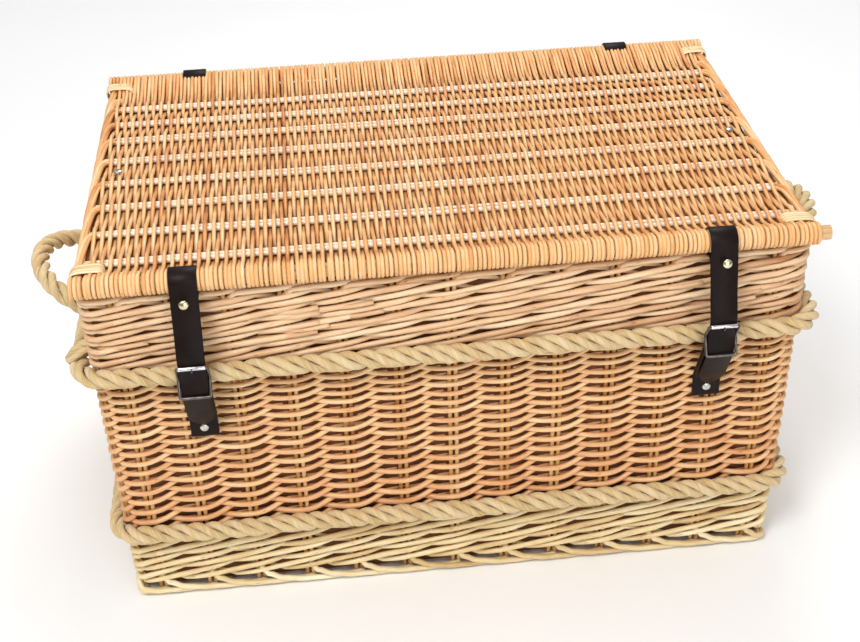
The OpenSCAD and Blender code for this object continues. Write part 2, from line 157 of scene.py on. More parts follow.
class Shape:
    """Gathers rods, ribbons and domes into one mesh, with a UV map and a tone for each rod."""

    def __init__(self):
        self.verts, self.loops, self.counts, self.uvs, self.tones = [], [], [], [], []
        self.total = 0

    def add(self, verts, faces, uvs, tones):
        self.verts.append(verts.reshape(-1, 3))
        self.tones.append(tones)
        for face, uv in zip(faces, uvs):
            self.loops.append((face + self.total).ravel())
            self.counts.append(np.full(len(face), face.shape[1]))
            self.uvs.append(uv.reshape(-1, 2))
        self.total += len(self.verts[-1])

    def tubes(self, grid, along, tones, closed=False):
        """Skins a grid of rings, (rods, rings, sides, 3), and caps its ends."""
        rods, rings, sides, _ = grid.shape
        index = np.arange(rods * rings * sides).reshape(rods, rings, sides)
        start = along / 10 + rng.uniform(0, 50, (rods, 1))
        if closed:
            low, high = index, np.roll(index, -1, 1)
            v0, v1 = start, np.roll(start, -1, 1)
            v1[:, -1] = v0[:, -1] + (v0[:, -1] - v0[:, -2])
        else:
            low, high = index[:, :-1], index[:, 1:]
            v0, v1 = start[:, :-1], start[:, 1:]
        quads = np.stack([low, np.roll(low, -1, 2), np.roll(high, -1, 2), high], -1)
        u0 = np.broadcast_to(np.arange(sides) / sides, low.shape)
        u1 = u0 + 1 / sides
        v0 = np.broadcast_to(v0[..., None], low.shape)
        v1 = np.broadcast_to(v1[..., None], low.shape)
        uv = np.stack([u0, v0, u1, v0, u1, v1, u0, v1], -1)
        faces, uvs = [quads.reshape(-1, 4)], [uv]
        if not closed:
            round_uv = np.broadcast_to(circle(sides) * 0.1, (rods, sides, 2))
            faces += [index[:, 0, ::-1], index[:, -1]]
            uvs += [round_uv, round_uv]
        tones = np.asarray(tones, float).reshape(rods, -1, 1)
        self.add(grid, faces, uvs, np.broadcast_to(tones, (rods, rings, sides)).ravel())
        return self

    def rods(self, paths, radii, tones, refs, sides=8, closed=False):
        """Round rods along paths, with a radius at each point."""
        paths = np.asarray(paths, float)
        radii = np.broadcast_to(np.asarray(radii, float), paths.shape[:2])
        grid = sweep(paths, circle(sides), refs, radii[..., None], closed)
        return self.tubes(grid, length_along(paths), tones, closed)

    def ribbon(self, path, section, refs, widths=1.0, tone=0.5):
        """A flat strip along one path; widths scales it across at each point."""
        path = np.asarray(path, float)[None]
        widths = np.broadcast_to(np.asarray(widths, float), path.shape[1:2])
        scale = np.stack([np.ones_like(widths), widths], -1)[None]
        grid = sweep(path, section, refs, scale)
        return self.tubes(grid, length_along(path), [tone])

    def dome(self, centre, out, radius, height, rim=0.5):
        """A rivet head: a low dome on a short rim, facing out."""
        out = unit(np.asarray(out, float))
        angle = np.linspace(0, np.pi / 2, 7)
        lift = np.concatenate([[-0.6, rim], rim + (height - rim) * np.sin(angle[1:])])
        wide = np.concatenate([[radius, radius], radius * np.cos(angle[1:])])
        wide[-1] = radius * 0.04
        path = np.asarray(centre, float) + lift[:, None] * out
        across = unit(np.cross(out, (0.31, 0.57, 0.76)))
        step = np.cross(out, across)
        ring = circle(28)
        around = ring[:, :1] * across + ring[:, 1:] * step
        grid = path[:, None] + wide[:, None, None] * around
        return self.tubes(grid[None], lift[None], [0.5])

    def build(self, name, material, body, slot, replaces=()):
        """Makes the mesh, and hangs it on its CAD body."""
        mesh = bpy.data.meshes.new(name)
        verts = np.concatenate(self.verts) * MM
        loops = np.concatenate(self.loops)
        counts = np.concatenate(self.counts)
        mesh.vertices.add(len(verts))
        mesh.vertices.foreach_set("co", verts.astype(np.float32).ravel())
        mesh.loops.add(len(loops))
        mesh.loops.foreach_set("vertex_index", loops.astype(np.int32))
        mesh.polygons.add(len(counts))
        starts = np.concatenate([[0], np.cumsum(counts)[:-1]])
        mesh.polygons.foreach_set("loop_start", starts.astype(np.int32))
        mesh.polygons.foreach_set("use_smooth", counts <= 4)
        mesh.update(calc_edges=True)
        uvs = mesh.uv_layers.new(name="UVMap")
        uvs.data.foreach_set("uv", np.concatenate([u.ravel() for u in self.uvs]).astype(np.float32))
        tone = mesh.attributes.new("tone", "FLOAT", "POINT")
        tone.data.foreach_set("value", np.concatenate(self.tones).astype(np.float32))
        mesh.materials.append(material)
        piece = bpy.data.objects.new(name, mesh)
        bpy.context.scene.collection.objects.link(piece)
        if body:
            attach(piece, body)
        if replaces:
            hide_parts(*replaces)
        return piece


def smooth(t):
    t = np.clip(t, 0, 1)
    return t * t * (3 - 2 * t)


def wander(rods, at, step, amount):
    """A slow random drift for each rod, by amount, changing every step along at."""
    knots = np.arange(at.min() - step, at.max() + 2 * step, step)
    values = rng.normal(0, amount, (rods, len(knots)))
    rows = at if len(at) == rods else np.repeat(at[:1], rods, 0)
    return np.stack([np.interp(row, knots, value) for row, value in zip(rows, values)])


def through(knots, at):
    """A smooth line through (place, value) knots, flat at each knot."""
    place, value = np.array(knots, float).T
    i = np.clip(np.searchsorted(place, at) - 1, 0, len(place) - 2)
    t = (at - place[i]) / (place[i + 1] - place[i])
    return value[i] + (value[i + 1] - value[i]) * smooth(t)


def rounded_line(points, every=2.0, passes=3):
    """A line through a few points, cut into even steps and eased at its corners."""
    points = np.array(points, float)
    s = length_along(points)
    line = points_at(points, s, np.linspace(0, s[-1], max(3, int(s[-1] / every)) + 1))
    for _ in range(passes):
        inner = line[1:-1] + (line[:-2] - 2 * line[1:-1] + line[2:]) / 4
        line = np.concatenate([line[:1], inner, line[-1:]])
    return line


# ---------------------------------------------------------------- materials
class Paint:
    """A node material, built a node at a time."""

    def __init__(self, name):
        self.material = bpy.data.materials.new(name)
        self.material.use_nodes = True
        self.tree = self.material.node_tree
        self.shader = self.tree.nodes["Principled BSDF"]

    def node(self, kind, inputs=(), **settings):
        made = self.tree.nodes.new(kind)
        for key, value in settings.items():
            setattr(made, key, value)
        for key, value in dict(inputs).items():
            if isinstance(value, bpy.types.NodeSocket):
                self.tree.links.new(value, made.inputs[key])
            else:
                made.inputs[key].default_value = value
        return made

    def math(self, operation, a, b=0.0):
        return self.node("ShaderNodeMath", {0: a, 1: b}, operation=operation).outputs[0]

    def scaled(self, value, times, plus=0.0):
        """value * times + plus"""
        return self.math("ADD", self.math("MULTIPLY", value, times), plus)

    def centred(self, value, times):
        """A noise value swung about zero."""
        return self.math("MULTIPLY", self.math("SUBTRACT", value, 0.5), times)

    def tone(self):
        return self.node("ShaderNodeAttribute", attribute_name="tone").outputs["Fac"]

    def place(self):
        return self.node("ShaderNodeTexCoord").outputs["Object"]

    def ramp(self, fac, stops):
        made = self.node("ShaderNodeValToRGB", {0: fac})
        ramp = made.color_ramp
        while len(ramp.elements) < len(stops):
            ramp.elements.new(0.5)
        for element, (place, colour) in zip(ramp.elements, stops):
            element.position = place
            element.color = rgb(colour)
        return made.outputs[0]

    def noise(self, vector, scale, detail=3.0, roughness=0.5):
        inputs = {"Vector": vector, "Scale": scale, "Detail": detail, "Roughness": roughness}
        return self.node("ShaderNodeTexNoise", inputs).outputs[0]

    def bump(self, height, strength, distance):
        inputs = {"Height": height, "Strength": strength, "Distance": distance}
        self.tree.links.new(self.node("ShaderNodeBump", inputs).outputs[0], self.shader.inputs["Normal"])

    def set(self, **values):
        for key, value in values.items():
            socket = self.shader.inputs[key.replace("_", " ")]
            if isinstance(value, bpy.types.NodeSocket):
                self.tree.links.new(value, socket)
            else:
                socket.default_value = value

    def round_vector(self, turn, stretch, spread):
        """A vector with no seam round a rod: spread sets the detail round it, stretch along it."""
        uv = self.node("ShaderNodeSeparateXYZ", {0: self.node("ShaderNodeUVMap").outputs[0]}).outputs
        lean = self.math("MULTIPLY", uv[1], turn)
        angle = self.math("MULTIPLY", self.math("ADD", uv[0], lean), 2 * math.pi)
        x = self.math("MULTIPLY", self.math("COSINE", angle), spread)
        y = self.math("MULTIPLY", self.math("SINE", angle), spread)
        z = self.math("MULTIPLY", uv[1], stretch)
        return self.node("ShaderNodeCombineXYZ", {0: x, 1: y, 2: z}).outputs[0], angle


def rgb(hex_colour):
    """A colour written as six hex digits, as linear light."""
    parts = [int(hex_colour[i : i + 2], 16) / 255 for i in (0, 2, 4)]
    return [p / 12.92 if p <= 0.04045 else ((p + 0.055) / 1.055) ** 2.4 for p in parts] + [1.0]


def hollow_shade(paint, colour, low, high):
    """Painted shade: darkens what faces up from low in the weave, where the rods shade each other, fading
    out between two heights in millimetres.
    """
    place = paint.node("ShaderNodeTexCoord").outputs
    height = paint.node("ShaderNodeSeparateXYZ", {0: place["Object"]}).outputs[2]
    up = paint.node("ShaderNodeSeparateXYZ", {0: place["Normal"]}).outputs[2]
    limits = {0: height, 1: low * MM, 2: high * MM, 3: 0.85, 4: 0.0}
    depth = paint.node("ShaderNodeMapRange", limits).outputs[0]
    shade = paint.math("MULTIPLY", depth, paint.math("MAXIMUM", up, 0.0))
    mixed = paint.node("ShaderNodeMix", {0: shade, 6: colour, 7: rgb("5a2e12")}, data_type="RGBA")
    return mixed.outputs[2]


def willow(name, stops, roughness=0.42, hollow=None):
    """Peeled willow: a tone for each rod, with blotches, long grain and small bud scars; given hollow,
    painted shade low in the weave.
    """
    paint = Paint(name)
    fine, _ = paint.round_vector(0.0, 0.45, 2.6)
    slow, _ = paint.round_vector(0.0, 0.3, 0.35)
    grain = paint.noise(fine, 1.6, 6.0, 0.6)
    blotch = paint.noise(slow, 1.1, 2.0)
    drift = paint.math("ADD", paint.centred(blotch, 0.75), paint.centred(grain, 0.42))
    fac = paint.math("ADD", paint.tone(), drift)
    scars = paint.node("ShaderNodeTexVoronoi", {"Vector": slow, "Scale": 1.5}).outputs["Distance"]
    fac = paint.scaled(paint.math("LESS_THAN", scars, 0.11), 0.3, fac)
    colour = paint.ramp(fac, stops)
    paint.set(Base_Color=hollow_shade(paint, colour, *hollow) if hollow else colour)
    paint.set(Roughness=paint.scaled(grain, 0.3, roughness - 0.15), Specular_IOR_Level=0.42)
    paint.bump(grain, 0.35, 0.0004)
    return paint.material


def rope_yarn(name):
    """Three-strand rope: yarns laid back along the strand, with fine loose fibre."""
    paint = Paint(name)
    fibres, angle = paint.round_vector(-0.2, 0.25, 3.5)
    fibre = paint.noise(fibres, 2.2, 8.0, 0.65)
    coarse = paint.noise(paint.round_vector(-0.2, 0.3, 1.6)[0], 1.5, 4.0)
    ridges = paint.math("SINE", paint.math("MULTIPLY", angle, 9.0))
    ridges = paint.scaled(coarse, 0.8, paint.scaled(ridges, 0.05, fibre))
    blotch = paint.noise(paint.round_vector(-0.2, 0.12, 0.6)[0], 1.2, 3.0)
    fac = paint.scaled(ridges, 0.5, paint.math("MULTIPLY", blotch, 0.4))
    fac = paint.math("ADD", fac, paint.centred(paint.tone(), 0.35))
    stops = [(0.35, "a8803e"), (0.5, "d0ae74"), (0.66, "e4c996"), (0.9, "f2e0bc")]
    paint.set(Base_Color=paint.ramp(fac, stops), Roughness=0.8, Specular_IOR_Level=0.25)
    paint.set(Sheen_Weight=0.25, Sheen_Roughness=0.5)
    paint.bump(ridges, 0.8, 0.0014)
    return paint.material


def leather(name, dark, light, sheen):
    """Waxed leather: a pebbled face, scuffs, and a faint cool sheen."""
    paint = Paint(name)
    place = paint.place()
    cells = {"Vector": place, "Scale": 900.0}
    pebble = paint.node("ShaderNodeTexVoronoi", cells).outputs["Distance"]
    crease = paint.noise(place, 160.0, 5.0)
    scuff = paint.noise(place, 35.0, 6.0, 0.7)
    fac = paint.scaled(scuff, 0.8, paint.math("MULTIPLY", pebble, 0.3))
    paint.set(Base_Color=paint.ramp(fac, [(0.35, dark), (0.85, light)]))
    paint.set(Roughness=paint.scaled(scuff, 0.25, 0.34))
    paint.set(Specular_IOR_Level=0.15, Sheen_Weight=0.01, Sheen_Tint=rgb(sheen))
    paint.bump(paint.scaled(pebble, 0.6, crease), 0.35, 0.0003)
    return paint.material


def metal(name, dark, light, roughness):
    """Plated metal with fine wear."""
    paint = Paint(name)
    place = paint.place()
    wear = paint.noise(place, 220.0, 6.0, 0.65)
    paint.set(Base_Color=paint.ramp(wear, [(0.3, dark), (0.65, light)]), Metallic=1.0)
    paint.set(Roughness=paint.scaled(wear, 0.2, roughness - 0.1))
    paint.bump(wear, 0.1, 0.0002)
    return paint.material


def bare_wood(name):
    """A peeled rod seen from outside its weave: long grain along X."""
    paint = Paint(name)
    place = paint.place()
    stretched = paint.node("ShaderNodeMapping", {"Vector": place, "Scale": (12.0, 420.0, 420.0)})
    grain = paint.noise(stretched.outputs[0], 1.0, 6.0, 0.6)
    paint.set(Base_Color=paint.ramp(grain, [(0.3, "b98450"), (0.7, "ecca98")]))
    paint.set(Roughness=paint.scaled(grain, 0.3, 0.35))
    paint.bump(grain, 0.3, 0.0004)
    return paint.material


LID_TONES = [(0.0, "f3d5aa"), (0.35, "ecbb80"), (0.65, "dd9a5c"), (1.0, "a5622c")]
LID_WILLOW = willow("lid_willow", LID_TONES, 0.34)
# The lid's weavers carry painted shade on what faces up low in the weave.
WEAVER_WILLOW = willow("lid_weaver_willow", LID_TONES, 0.34, hollow=(HINGE_Z - 2.0, HINGE_Z + 2.4))
STICK_WILLOW = willow("stick_willow", [(0.0, "fdf0e0"), (0.5, "f6dcc0"), (1.0, "e6b488")])
RANDING_TONES = [(0.0, "f0d6a8"), (0.35, "e7ba86"), (0.7, "d59662"), (1.0, "aa683a")]
RANDING_WILLOW = willow("randing_willow", RANDING_TONES)
WALE_WILLOW = willow("wale_willow", [(0.0, "f0d8b4"), (0.4, "e2bc92"), (0.75, "ca9a6e"), (1.0, "9e663a")])
FOOT_WILLOW = willow("foot_willow", [(0.0, "f7ecca"), (0.4, "e8d09e"), (0.75, "cfac74"), (1.0, "9c7240")])
STAKE_WILLOW = willow("stake_willow", [(0.0, "ecc78c"), (0.5, "d09a56"), (1.0, "9c6430")])
SKEIN_WILLOW = willow("skein_willow", [(0.0, "fbe9c8"), (0.5, "f2d3a0"), (1.0, "dba868")], 0.35)
# Painted shade: the dark brown colours of the sheets set inside the weave, where there is only shade
# between the rods.
SHADOW = willow("weave_shadow", [(0.0, "8c5832"), (0.5, "744628"), (1.0, "58341c")], 0.8)
LID_SHADOW = willow("lid_shadow", [(0.0, "b47c44"), (0.5, "9c6834"), (1.0, "784a22")], 0.8)
ROPE = rope_yarn("rope_yarn")
DARK_LEATHER = leather("dark_leather", "0c0504", "20110d", "8f93c8")
# Painted reflection: the stays are dark brown leather, coloured dark blue-violet here for the sky they
# reflect.
STAY_LEATHER_BLUE_REFLECTION = leather("stay_leather", "2a2138", "4b3f66", "9aa0e0")
THREAD = leather("stitch_thread", "0d0a0a", "241c1a", "8fa3d8")
CHROME = metal("chrome", "b8b8bc", "f4f4f6", 0.16)
WIRE = metal("buckle_wire", "4a4642", "7c7872", 0.3)
BRASS = metal("pale_brass", "c9b98c", "f3e9c8", 0.24)
NICKEL = metal("nickel", "9a9890", "dedcd4", 0.26)
BARE_WOOD = bare_wood("bare_rod")


# ---------------------------------------------------------------- walls
def corners(half_x, half_y, bend, count):
    """Points and outward normals round the four corners of a rounded rectangle."""
    points, normals = [], []
    for sx, sy, start in ((1, -1, -90), (1, 1, 0), (-1, 1, 90), (-1, -1, 180)):
        angle = np.radians(start + np.linspace(0, 90, count))
        normal = np.stack([np.cos(angle), np.sin(angle)], 1)
        points.append(np.array([sx * (half_x - bend), sy * (half_y - bend)]) + bend * normal)
        normals.append(normal)
    return np.concatenate(points), np.concatenate(normals)


def outline():
    """Points and outward normals round the stakes' line, from the front wall's left end."""
    half_x, half_y = HALF_X - WALL / 2, HALF_Y - WALL / 2
    points, normals = corners(half_x, half_y, BEND, 13)
    points = np.concatenate([[[-half_x + BEND, -half_y]], points])
    normals = np.concatenate([[[0.0, -1.0]], normals])
    return length_along(points), points, normals


def stake_places(lengths):
    """How far round the outline each stake pair stands, and the first again at the end."""
    run_x, run_y = HALF_X - WALL / 2 - BEND, HALF_Y - WALL / 2 - BEND
    front = (np.arange(STAKES_X) - (STAKES_X - 1) / 2) * PITCH_X + run_x
    side = (np.arange(STAKES_Y) - (STAKES_Y - 1) / 2) * PITCH_Y + run_y
    turn = BEND * np.pi / 2
    right = 2 * run_x + turn
    back = right + 2 * run_y + turn
    left = back + 2 * run_x + turn
    return np.concatenate([front, right + side, back + front, left + side, front[:1] + lengths[-1]])


LENGTHS, LINE, NORMALS = outline()
STAKE_AT = stake_places(LENGTHS)


def lean(z):
    """How far the wall stands inside its rim at a height."""
    return np.interp(z, [FOOT_Z, LOW_ROPE_Z, WALE_Z, RIM_Z], [FOOT_INSET, 4.5, 1.0, 0.0])


def on_wall(stake, z, depth):
    """Points on the wall at a place counted in stakes, and which way is out there."""
    at = np.interp(np.mod(stake, STAKES), np.arange(STAKES + 1), STAKE_AT) % LENGTHS[-1]
    x, y = (np.interp(at, LENGTHS, LINE[:, k]) for k in (0, 1))
    nx, ny = (np.interp(at, LENGTHS, NORMALS[:, k]) for k in (0, 1))
    out = depth - lean(z)
    normal = unit(np.stack([nx, ny, np.zeros_like(nx)], -1))
    return np.stack([x, y, np.broadcast_to(z, x.shape)], -1) + normal * out[..., None], normal


def randing():
    """French randing: a rod begins at every stake pair, and climbs a row every two stakes."""
    rows, per = 18, 10
    pitch = np.linspace(14.3, 9.1, rows)
    heights = LOW_ROPE_Z - 5 + np.concatenate([[0], np.cumsum(pitch)])
    q = np.linspace(0, 2 * rows, 2 * rows * per + 1)
    row = np.minimum(q // 2, rows - 1).astype(int)
    z = heights[row] + pitch[row] * smooth((q - 2 * row) / 0.95)
    depth = 4.6 * np.tanh(1.1 * np.cos(np.pi * q)) / np.tanh(1.1)
    stake = np.arange(STAKES)[:, None] + q
    z = z + wander(STAKES, q[None], 1.0, 0.45)
    depth = depth + wander(STAKES, q[None], 1.0, 0.25)
    radii = np.interp(z, [heights[0], heights[-1]], [2.95, 2.2]) * rng.normal(1, 0.03, (STAKES, 1))
    paths, out = on_wall(stake, z, depth)
    tones = 0.42 + 0.25 * (0.5 - (z - heights[0]) / (heights[-1] - heights[0]))
    return paths, out, radii, tones + rng.normal(0, 0.07, (STAKES, 1))


def waling(low, high, slot, radius):
    """Rounds of a three-rod wale: in front of two stake pairs, behind one, climbing to the right."""
    rounds, per = int(round((high - low) / slot / 2)), 8
    slot = (high - low) / rounds / 2
    rods = 3 * rounds
    stake = np.broadcast_to(np.linspace(0, STAKES, STAKES * per + 1)[:-1], (rods, STAKES * per))
    rod = np.arange(rods)[:, None]
    q = np.mod(stake + rod % 3, 3)
    depth = np.where(q < 1, 1, np.where(q < 2, np.cos(np.pi * (q - 1)), -np.cos(np.pi * (q - 2))))
    rise = np.where(q < 1.5, q, np.where(q < 2.5, 4.5 - 2 * q, q - 3))
    join = smooth(stake / 2) * smooth((STAKES - stake) / 2)  # no drift where a round closes
    z = low + slot * (0.5 + 2 * (rod // 3) + rise) + wander(rods, stake, 1.5, 1.0) * join
    swell = wander(rods, stake, 2.0, 0.11) * join
    paths, out = on_wall(stake, z, depth * 4.4)
    return paths, out, radius * (1 + swell), 0.42 + wander(rods, stake, 4.0, 0.17) * join


def cut_ends(low, high, count):
    """Short rod ends that come out between the rows and stop in front of a stake."""
    q = np.linspace(0, 1, 12)
    stake = rng.integers(0, STAKES, count)[:, None] + rng.uniform(0.2, 0.5, (count, 1)) + 1.3 * q
    z = rng.uniform(low, high, (count, 1)) + 10 * q
    depth = -3 + 10.0 * smooth(q * 1.3) + 0 * z
    paths, out = on_wall(stake, z, depth)
    return paths, out, np.full((count, 12), 2.2), rng.normal(0.42, 0.1, count)


def along_border(knots_z, knots_depth, reach, points):
    """One border rod from every stake pair, shaped by its height and depth past the stake."""
    q = np.linspace(0, reach, points)
    stake = np.arange(STAKES)[:, None] + q
    z = through(knots_z, q) + wander(STAKES, q[None], 1.0, 0.3)
    depth = through(knots_depth, q) + 0 * z
    return on_wall(stake, z, depth)


def build_walls():
    paths, out, radii, tones = randing()
    for part, keep in (("a", slice(0, None, 2)), ("b", slice(1, None, 2))):
        shape = Shape().rods(paths[keep], radii[keep], tones[keep], out[keep])
        shape.build("randing_rods_" + part, RANDING_WILLOW, "basket", "willow_buff", ["wall_randing"])

    shape = Shape()
    paths, out, radii, tones = waling(WALE_Z + 2, RIM_Z - 1, 7.5, 2.75)
    shape.rods(paths, radii, tones, out, closed=True)
    paths, out, radii, tones = cut_ends(WALE_Z + 16, RIM_Z - 18, 34)
    shape.rods(paths, radii, tones, out)
    shape.build("upper_waling_rods", WALE_WILLOW, "basket", "willow_pale", ["upper_waling"])

    shape = Shape()
    paths, out, radii, tones = waling(FOOT_Z + 4, LOW_ROPE_Z - 2, 8.9, 2.95)
    shape.rods(paths, radii, tones, out, closed=True)
    shape.build("foot_waling_rods", FOOT_WILLOW, "basket", "willow_pale", ["foot_waling"])

    tones = rng.normal(0.4, 0.15, STAKES)
    z_line = [(0, 26), (0.14, 17), (0.45, 9.5), (0.95, 5.2), (1.6, 4.2), (2.1, 3.8)]
    d_line = [(0, 1), (0.16, 5.5), (0.6, 6.4), (1.2, 5), (1.8, 2.5), (2.1, 0)]
    paths, out = along_border(z_line, d_line, 2.1, 30)
    Shape().rods(paths, 3.1, tones, out).build(
        "foot_border_rods", FOOT_WILLOW, "basket", "willow_pale", ["foot_border"])

    z_line = [(0, RIM_Z - 6), (0.2, RIM_TOP - 5), (0.6, RIM_TOP - 3.6), (1.3, RIM_TOP - 3.4),
              (2.4, RIM_Z)]
    d_line = [(0, 0), (0.25, 4.6), (0.8, 4.8), (1.3, 0), (1.8, -4.6), (2.4, -4)]
    paths, out = along_border(z_line, d_line, 2.4, 34)
    Shape().rods(paths, 2.8, tones, out).build(
        "rim_border_rods", WALE_WILLOW, "basket", "willow_pale", ["rim_border"])

    z = np.linspace(9, RIM_Z + 2, 16)
    stake = np.repeat(np.arange(STAKES), 2) + np.tile([-3.2, 3.2], STAKES) / PITCH_X
    paths, out = on_wall(np.repeat(stake[:, None], 16, 1), z[None] + 0 * stake[:, None], 0 * z[None])
    Shape().rods(paths, 2.25, rng.normal(0.45, 0.2, 2 * STAKES), out).build(
        "wall_stake_rods", STAKE_WILLOW, "basket", "willow_core", ["wall_stakes"])


def shadow_band(shape, low, high):
    """A closed thin band inside a wall, as painted shade for the dark between its rods."""
    depth, thick = -2.6, 0.5
    stake = np.linspace(0, STAKES, STAKES * 12 + 1)[:-1]
    edges = []
    for z, out in ((low, thick), (high, thick), (high, -thick), (low, -thick)):
        heights = np.full(len(stake), float(z))
        edges.append(on_wall(stake, heights, np.full(len(stake), depth + out))[0])
    grid = np.stack(edges, 1)[None]
    shape.tubes(grid, np.arange(len(stake))[None] * 10.0, [0.5], closed=True)


def flat_box(shape, low, high):
    """A plain box, as a short square tube along X."""
    y0, z0, y1, z1 = low[1], low[2], high[1], high[2]
    ring = [(y0, z0), (y1, z0), (y1, z1), (y0, z1)]
    grid = np.array([[[x, y, z] for y, z in ring] for x in (low[0], high[0])])[None]
    shape.tubes(grid, np.array([[low[0], high[0]]]), [0.5])


def build_shadow_sheets():
    """Painted shade for the dark depth of the weave: a thin dark sheet inside the walls, the base and the
    lid.
    """
    shape = Shape()
    for low, high in ((FOOT_Z - 4, LOW_ROPE_Z), (LOW_ROPE_Z, WALE_Z), (WALE_Z, RIM_TOP - 4)):
        shadow_band(shape, low, high)
    shape.build("wall_shadow", SHADOW, "basket", "willow_core")
    low, high = box("base_weave")
    z = middle("base_weave")[2]
    shape = Shape()
    flat_box(shape, (low[0] + 2, low[1] + 2, z - 0.5), (high[0] - 2, high[1] - 2, z + 0.5))
    shape.build("base_shadow", SHADOW, "basket", "willow_core")
    edge = HINGE[0] - 16
    shape = Shape()
    flat_box(shape, (-PANEL_X - 4, -edge, HINGE_Z - 3.4), (PANEL_X + 4, edge, HINGE_Z - 2.8))
    shape.build("lid_shadow_sheet", LID_SHADOW, "lid", "willow_core")


def build_base():
    low, high = box("base_sticks")
    count = 9
    step = (box("base_weave")[1][1] - box("base_weave")[0][1]) / count
    rows = (np.arange(count) - (count - 1) / 2) * step
    level = middle("base_sticks")[2]
    x = np.linspace(low[0], high[0], 24)
    paths = np.stack([np.stack([x, x * 0 + y, x * 0 + level], 1) for y in rows])
    Shape().rods(paths, 3.4, rng.normal(0.5, 0.15, count), (0, 0, 1)).build(
        "base_stick_rods", STAKE_WILLOW, "basket", "willow_core", ["base_sticks"])

    places = np.arange(low[0] + 3, high[0] - 2, 4.7)
    edge = high[1]
    y = np.linspace(-edge - 18, edge + 18, count * 5 + 1)
    wave = np.cos(np.pi * (y - rows[0]) / step)
    sign = np.where(np.arange(len(places)) % 2 == 0, 1, -1)[:, None]
    z = level + 3.6 * sign * np.tanh(1.5 * wave) / np.tanh(1.5)
    xs = places[:, None] + wander(len(places), y[None], 60, 0.35)
    paths = np.stack([xs, np.broadcast_to(y, xs.shape), z], -1)
    Shape().rods(paths, 2.2, rng.normal(0.5, 0.16, len(places)), (1, 0, 0), sides=6).build(
        "base_weave_rods", RANDING_WILLOW, "basket", "willow_buff", ["base_weave"])


# ---------------------------------------------------------------- lid
def weaver_line(side):
    """A weaver's (y, z) line: round the front rod, over and under the sticks, round the rear rod."""
    radius, swing = ROD_R + 2.15, 4.7
    turn = np.radians(np.linspace(325, 96, 15))
    around = np.stack([radius * np.cos(turn), radius * np.sin(turn)], 1)
    front = around + (-HINGE[0], HINGE_Z)
    rear = (around * (-1, 1) + (HINGE[0], HINGE_Z))[::-1]
    top = HINGE_Z + radius
    knots = [(-HINGE[0], top)]
    rise = ((-13, 0.42), (-4, 1), (4, 1), (13, 0.42))
    for i, y in enumerate(sorted(STICK_Y)):
        level = side * swing * (1 if i % 2 else -1)
        knots += [(y + beside, HINGE_Z + share * level) for beside, share in rise]
    knots += [(HINGE[0], top)]
    y = np.concatenate([np.linspace(a[0], b[0], 4)[:-1] for a, b in zip(knots, knots[1:])])[1:]
    return np.concatenate([front, np.stack([y, through(knots, y)], 1), rear])


def build_lid_weave():
    places = np.arange(-PANEL_X + 2, PANEL_X - 1, WEAVER_PITCH)
    lines = [weaver_line(1), weaver_line(-1)]
    yz = np.stack([lines[i % 2] for i in range(len(places))])
    drift = wander(len(places), yz[:, :, 0], 70, 0.42)
    paths = np.concatenate([(places[:, None] + drift)[..., None], yz], -1)
    taper = np.linspace(-1, 1, yz.shape[1]) * np.where(np.arange(len(places)) % 2, 1, -1)[:, None]
    radii = WEAVER_R + 0.1 * taper + rng.normal(0, 0.05, (len(places), 1))
    around = np.abs(yz[:, :, 0]) > HINGE[0] - 4
    radii = np.where(around, radii - 0.06, radii)
    tones = rng.normal(0.42, 0.08, len(places)) + (rng.random(len(places)) > 0.9) * 0.22
    # Painted light: the wraps round the lid rods get a lighter, evener tone, for the highlight they catch
    # along the lid's edges.
    tones = np.where(around, 0.14 + 0.45 * tones[:, None], tones[:, None])
    cut = len(places) // 2
    for part, keep in (("left", slice(0, cut)), ("right", slice(cut, None))):
        shape = Shape().rods(paths[keep], radii[keep], tones[keep], (1, 0, 0))
        shape.build("lid_weave_" + part, WEAVER_WILLOW, "lid", "willow_buff", ["lid_weave"])

    turn = np.linspace(0, 2 * np.pi, 33)[:-1]
    ends = np.arange(PANEL_X + 2.2, HALF_X, 4.1)
    rings = []
    for x in np.concatenate([ends, -ends]):
        for y in (-HINGE[0], HINGE[0]):
            rings.append(np.stack(
                [turn * 0 + x, y + WRAP_R * np.cos(turn), HINGE_Z + WRAP_R * np.sin(turn)], 1))
    Shape().rods(rings, 2.05, rng.normal(0.4, 0.15, len(rings)), (1, 0, 0), closed=True).build(
        "lid_rod_end_wraps", LID_WILLOW, "lid", "willow_buff")

    x = np.linspace(-PANEL_X - 2, PANEL_X + 2, 60)
    rows = np.array([y + s * 2.8 for y in STICK_Y for s in (-1, 1)])
    ys = rows[:, None] + wander(16, x[None], 90, 0.5)
    zs = HINGE_Z + wander(16, x[None], 90, 0.25)
    paths = np.stack([np.broadcast_to(x, ys.shape), ys, zs], -1)
    Shape().rods(paths, 2.5, rng.normal(0.3, 0.12, 16), (0, 0, 1)).build(
        "lid_stick_rods", STICK_WILLOW, "lid", "willow_pale", ["lid_sticks"])


def lid_border(side):
    """The sticks' ends, turned towards the front and laid over each other along the lid's edge."""
    ends = []
    for y in (HINGE[0] - 12, 176, *STICK_Y):
        for s in (-1, 1):
            knots = [(PANEL_X - 6, y + 2.6 * s, 0), (PANEL_X + 1, y - 1, 1.5 + s),
                     (PANEL_X + 4.5 + s, y - 14, 3.4 + s), (PANEL_X + 7.5 + 1.5 * s, y - 55, 2.6),
                     (PANEL_X + 8 + 1.5 * s, y - 100, -0.6), (PANEL_X + 6.5, y - 132, -4.2)]
            line = rounded_line(knots, 3.0, 10)
            line = line[line[:, 1] > -HINGE[0] + 9]
            even = np.linspace(0, len(line) - 1, 34)
            line = points_at(line, np.arange(len(line)), even)
            ends.append(line * (side, 1, 1) + (0, 0, HINGE_Z))
    return ends


